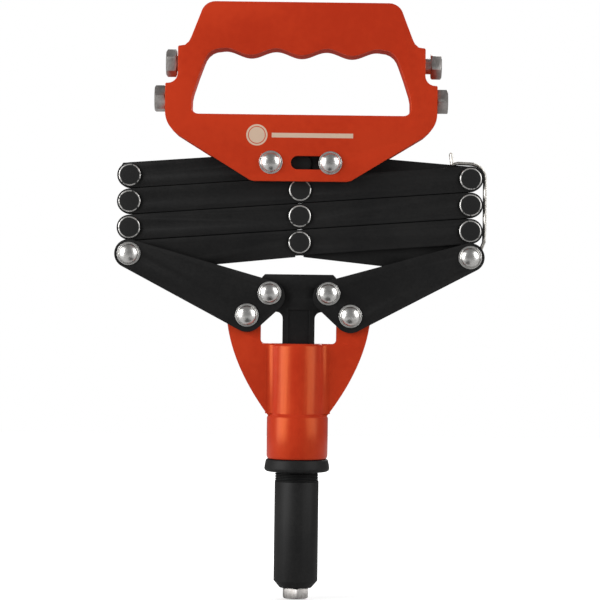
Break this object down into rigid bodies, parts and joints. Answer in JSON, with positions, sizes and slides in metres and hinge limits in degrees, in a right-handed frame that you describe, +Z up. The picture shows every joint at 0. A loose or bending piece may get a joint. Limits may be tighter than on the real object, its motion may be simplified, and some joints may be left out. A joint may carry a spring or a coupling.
{
  "type": "hand riveter",
  "caption": "Lazy-tong hand riveter: folding link tongs drive a crosshead and jaws that pull a blind rivet's mandrel through a changeable nosepiece.",
  "frame": {"origin": "centre of the fitted nosepiece's mouth, on the axis of its mandrel hole", "axes": "+Z up the tool towards the handle, -Y towards the viewer of the picture, +X to the viewer's right"},
  "size_m": [0.1934, 0.034, 0.31],
  "materials": {
    "orange_paint": "aluminium die casting under a glossy orange-red powder coat",
    "black_finish": "satin black",
    "bright_rivets": "polished, lightly worn",
    "hard_steel": "machined, slightly dull",
    "spring_wire": "drawn wire",
    "plain_steel": "turned steel"
  },
  "bodies": {
    "housing_body": {"housing": "orange_paint", "lock_ring": "black_finish", "nose_sleeve": "black_finish", "nosepiece": "hard_steel", "housing_rivet_left": "bright_rivets", "housing_rivet_right": "bright_rivets"},
    "crosshead_body": {"crosshead": "black_finish", "draw_rod": "plain_steel", "rod_lock_nut": "plain_steel", "jaw_case": "plain_steel", "jaw_spring": "plain_steel"},
    "jaw_body": {"jaws": "plain_steel", "jaw_pusher": "plain_steel"},
    "left_lever": {"left_lever_front": "black_finish", "left_lever_back": "black_finish", "left_drive_rivet": "bright_rivets", "left_end_rivet": "bright_rivets"},
    "right_lever": {"right_lever_front": "black_finish", "right_lever_back": "black_finish", "right_drive_rivet": "bright_rivets", "right_end_heads": "bright_rivets"},
    "latch": {"latch_clip": "spring_wire"},
    "tong_a1": {"tong_a1_front": "black_finish", "tong_a1_back": "black_finish", "middle_pin_1": "black_finish", "right_pin_1": "black_finish", "left_end_spacer": "plain_steel"},
    "tong_b1": {"tong_b1": "black_finish", "right_end_core": "plain_steel"},
    "tong_a2": {"tong_a2_front": "black_finish", "tong_a2_back": "black_finish", "middle_pin_2": "black_finish", "left_pin_1": "black_finish", "right_pin_2": "black_finish"},
    "tong_b2": {"tong_b2": "black_finish"},
    "tong_a3": {"tong_a3_front": "black_finish", "tong_a3_back": "black_finish", "middle_pin_3": "black_finish", "left_pin_2": "black_finish", "right_pin_3": "black_finish"},
    "tong_b3": {"tong_b3": "black_finish"},
    "tong_a4": {"tong_a4_front": "black_finish", "tong_a4_back": "black_finish", "middle_pin_4": "black_finish", "left_pin_3": "black_finish", "handle_rivet_right": "bright_rivets", "handle_spacers": "plain_steel"},
    "tong_b4": {"tong_b4": "black_finish"},
    "handle_body": {"handle": "orange_paint", "handle_rivet_left": "bright_rivets", "spare_nosepiece_1": "hard_steel", "spare_nosepiece_2": "hard_steel", "spare_nosepiece_3": "hard_steel", "spare_nosepiece_4": "hard_steel"}
  },
  "joints": [
    {"name": "left_lever_hinge", "type": "hinge", "parent": "housing_body", "child": "left_lever", "pos_m": [-0.0269, 0, 0.1474], "axis": [0, 1, 0], "range_deg": [0, 48.44]},
    {"name": "right_lever_hinge", "type": "hinge", "parent": "housing_body", "child": "right_lever", "pos_m": [0.0269, 0, 0.1474], "axis": [0, 1, 0], "range_deg": [-50.94, 0]},
    {"name": "crosshead_slide", "type": "slide", "parent": "housing_body", "child": "crosshead_body", "axis": [0, 0, -1], "range_m": [0, 0.0123]},
    {"name": "jaw_slide", "type": "slide", "parent": "crosshead_body", "child": "jaw_body", "axis": [0, 0, 1], "range_m": [0, 0.0025], "stiffness_N_per_m": 600, "springref_m": -0.003, "deforming": ["jaw_spring"]},
    {"name": "tong_a1_hinge", "type": "hinge", "parent": "left_lever", "child": "tong_a1", "pos_m": [-0.08874, 0, 0.1787], "axis": [0, 1, 0], "range_deg": [-106.54, 0]},
    {"name": "tong_b1_hinge", "type": "hinge", "parent": "tong_a1", "child": "tong_b1", "pos_m": [0, 0, 0.18553], "axis": [0, 1, 0], "range_deg": [0, 113.7]},
    {"name": "tong_a2_hinge", "type": "hinge", "parent": "tong_b1", "child": "tong_a2", "pos_m": [-0.08874, 0, 0.19236], "axis": [0, 1, 0], "range_deg": [-113.7, 0]},
    {"name": "tong_b2_hinge", "type": "hinge", "parent": "tong_a2", "child": "tong_b2", "pos_m": [0, 0, 0.19918], "axis": [0, 1, 0], "range_deg": [0, 113.7]},
    {"name": "tong_a3_hinge", "type": "hinge", "parent": "tong_b2", "child": "tong_a3", "pos_m": [-0.08874, 0, 0.20601], "axis": [0, 1, 0], "range_deg": [-113.7, 0]},
    {"name": "tong_b3_hinge", "type": "hinge", "parent": "tong_a3", "child": "tong_b3", "pos_m": [0, 0, 0.21284], "axis": [0, 1, 0], "range_deg": [0, 113.7]},
    {"name": "tong_a4_hinge", "type": "hinge", "parent": "tong_b3", "child": "tong_a4", "pos_m": [-0.08874, 0, 0.21967], "axis": [0, 1, 0], "range_deg": [-113.7, 0]},
    {"name": "tong_b4_hinge", "type": "hinge", "parent": "tong_a4", "child": "tong_b4", "pos_m": [0, 0, 0.2265], "axis": [0, 1, 0], "range_deg": [0, 113.7]},
    {"name": "handle_hinge", "type": "hinge", "parent": "tong_b4", "child": "handle_body", "pos_m": [-0.01545, 0, 0.2268], "axis": [0, 1, 0], "range_deg": [-58.1, 0]},
    {"name": "latch_hinge", "type": "hinge", "parent": "right_lever", "child": "latch", "pos_m": [0.08874, 0, 0.1787], "axis": [0, 1, 0], "range_deg": [0, 102.5], "deforming": ["latch_clip"]}
  ],
  "couplings": [
    {"joint": "right_lever_hinge", "follows": "left_lever_hinge", "ratio": -1},
    {"joint": "crosshead_slide", "follows": "left_lever_hinge", "m_per_rad": 0.01443},
    {"joint": "tong_a1_hinge", "follows": "left_lever_hinge", "ratio": -2.1478},
    {"joint": "tong_b1_hinge", "follows": "left_lever_hinge", "ratio": 2.2955},
    {"joint": "tong_a2_hinge", "follows": "left_lever_hinge", "ratio": -2.2955},
    {"joint": "tong_b2_hinge", "follows": "left_lever_hinge", "ratio": 2.2955},
    {"joint": "tong_a3_hinge", "follows": "left_lever_hinge", "ratio": -2.2955},
    {"joint": "tong_b3_hinge", "follows": "left_lever_hinge", "ratio": 2.2955},
    {"joint": "tong_a4_hinge", "follows": "left_lever_hinge", "ratio": -2.2955},
    {"joint": "tong_b4_hinge", "follows": "left_lever_hinge", "ratio": 2.2955},
    {"joint": "handle_hinge", "follows": "left_lever_hinge", "ratio": -1.1478},
    {"joint": "latch_hinge", "follows": "left_lever_hinge", "ratio": 2.0643}
  ]
}
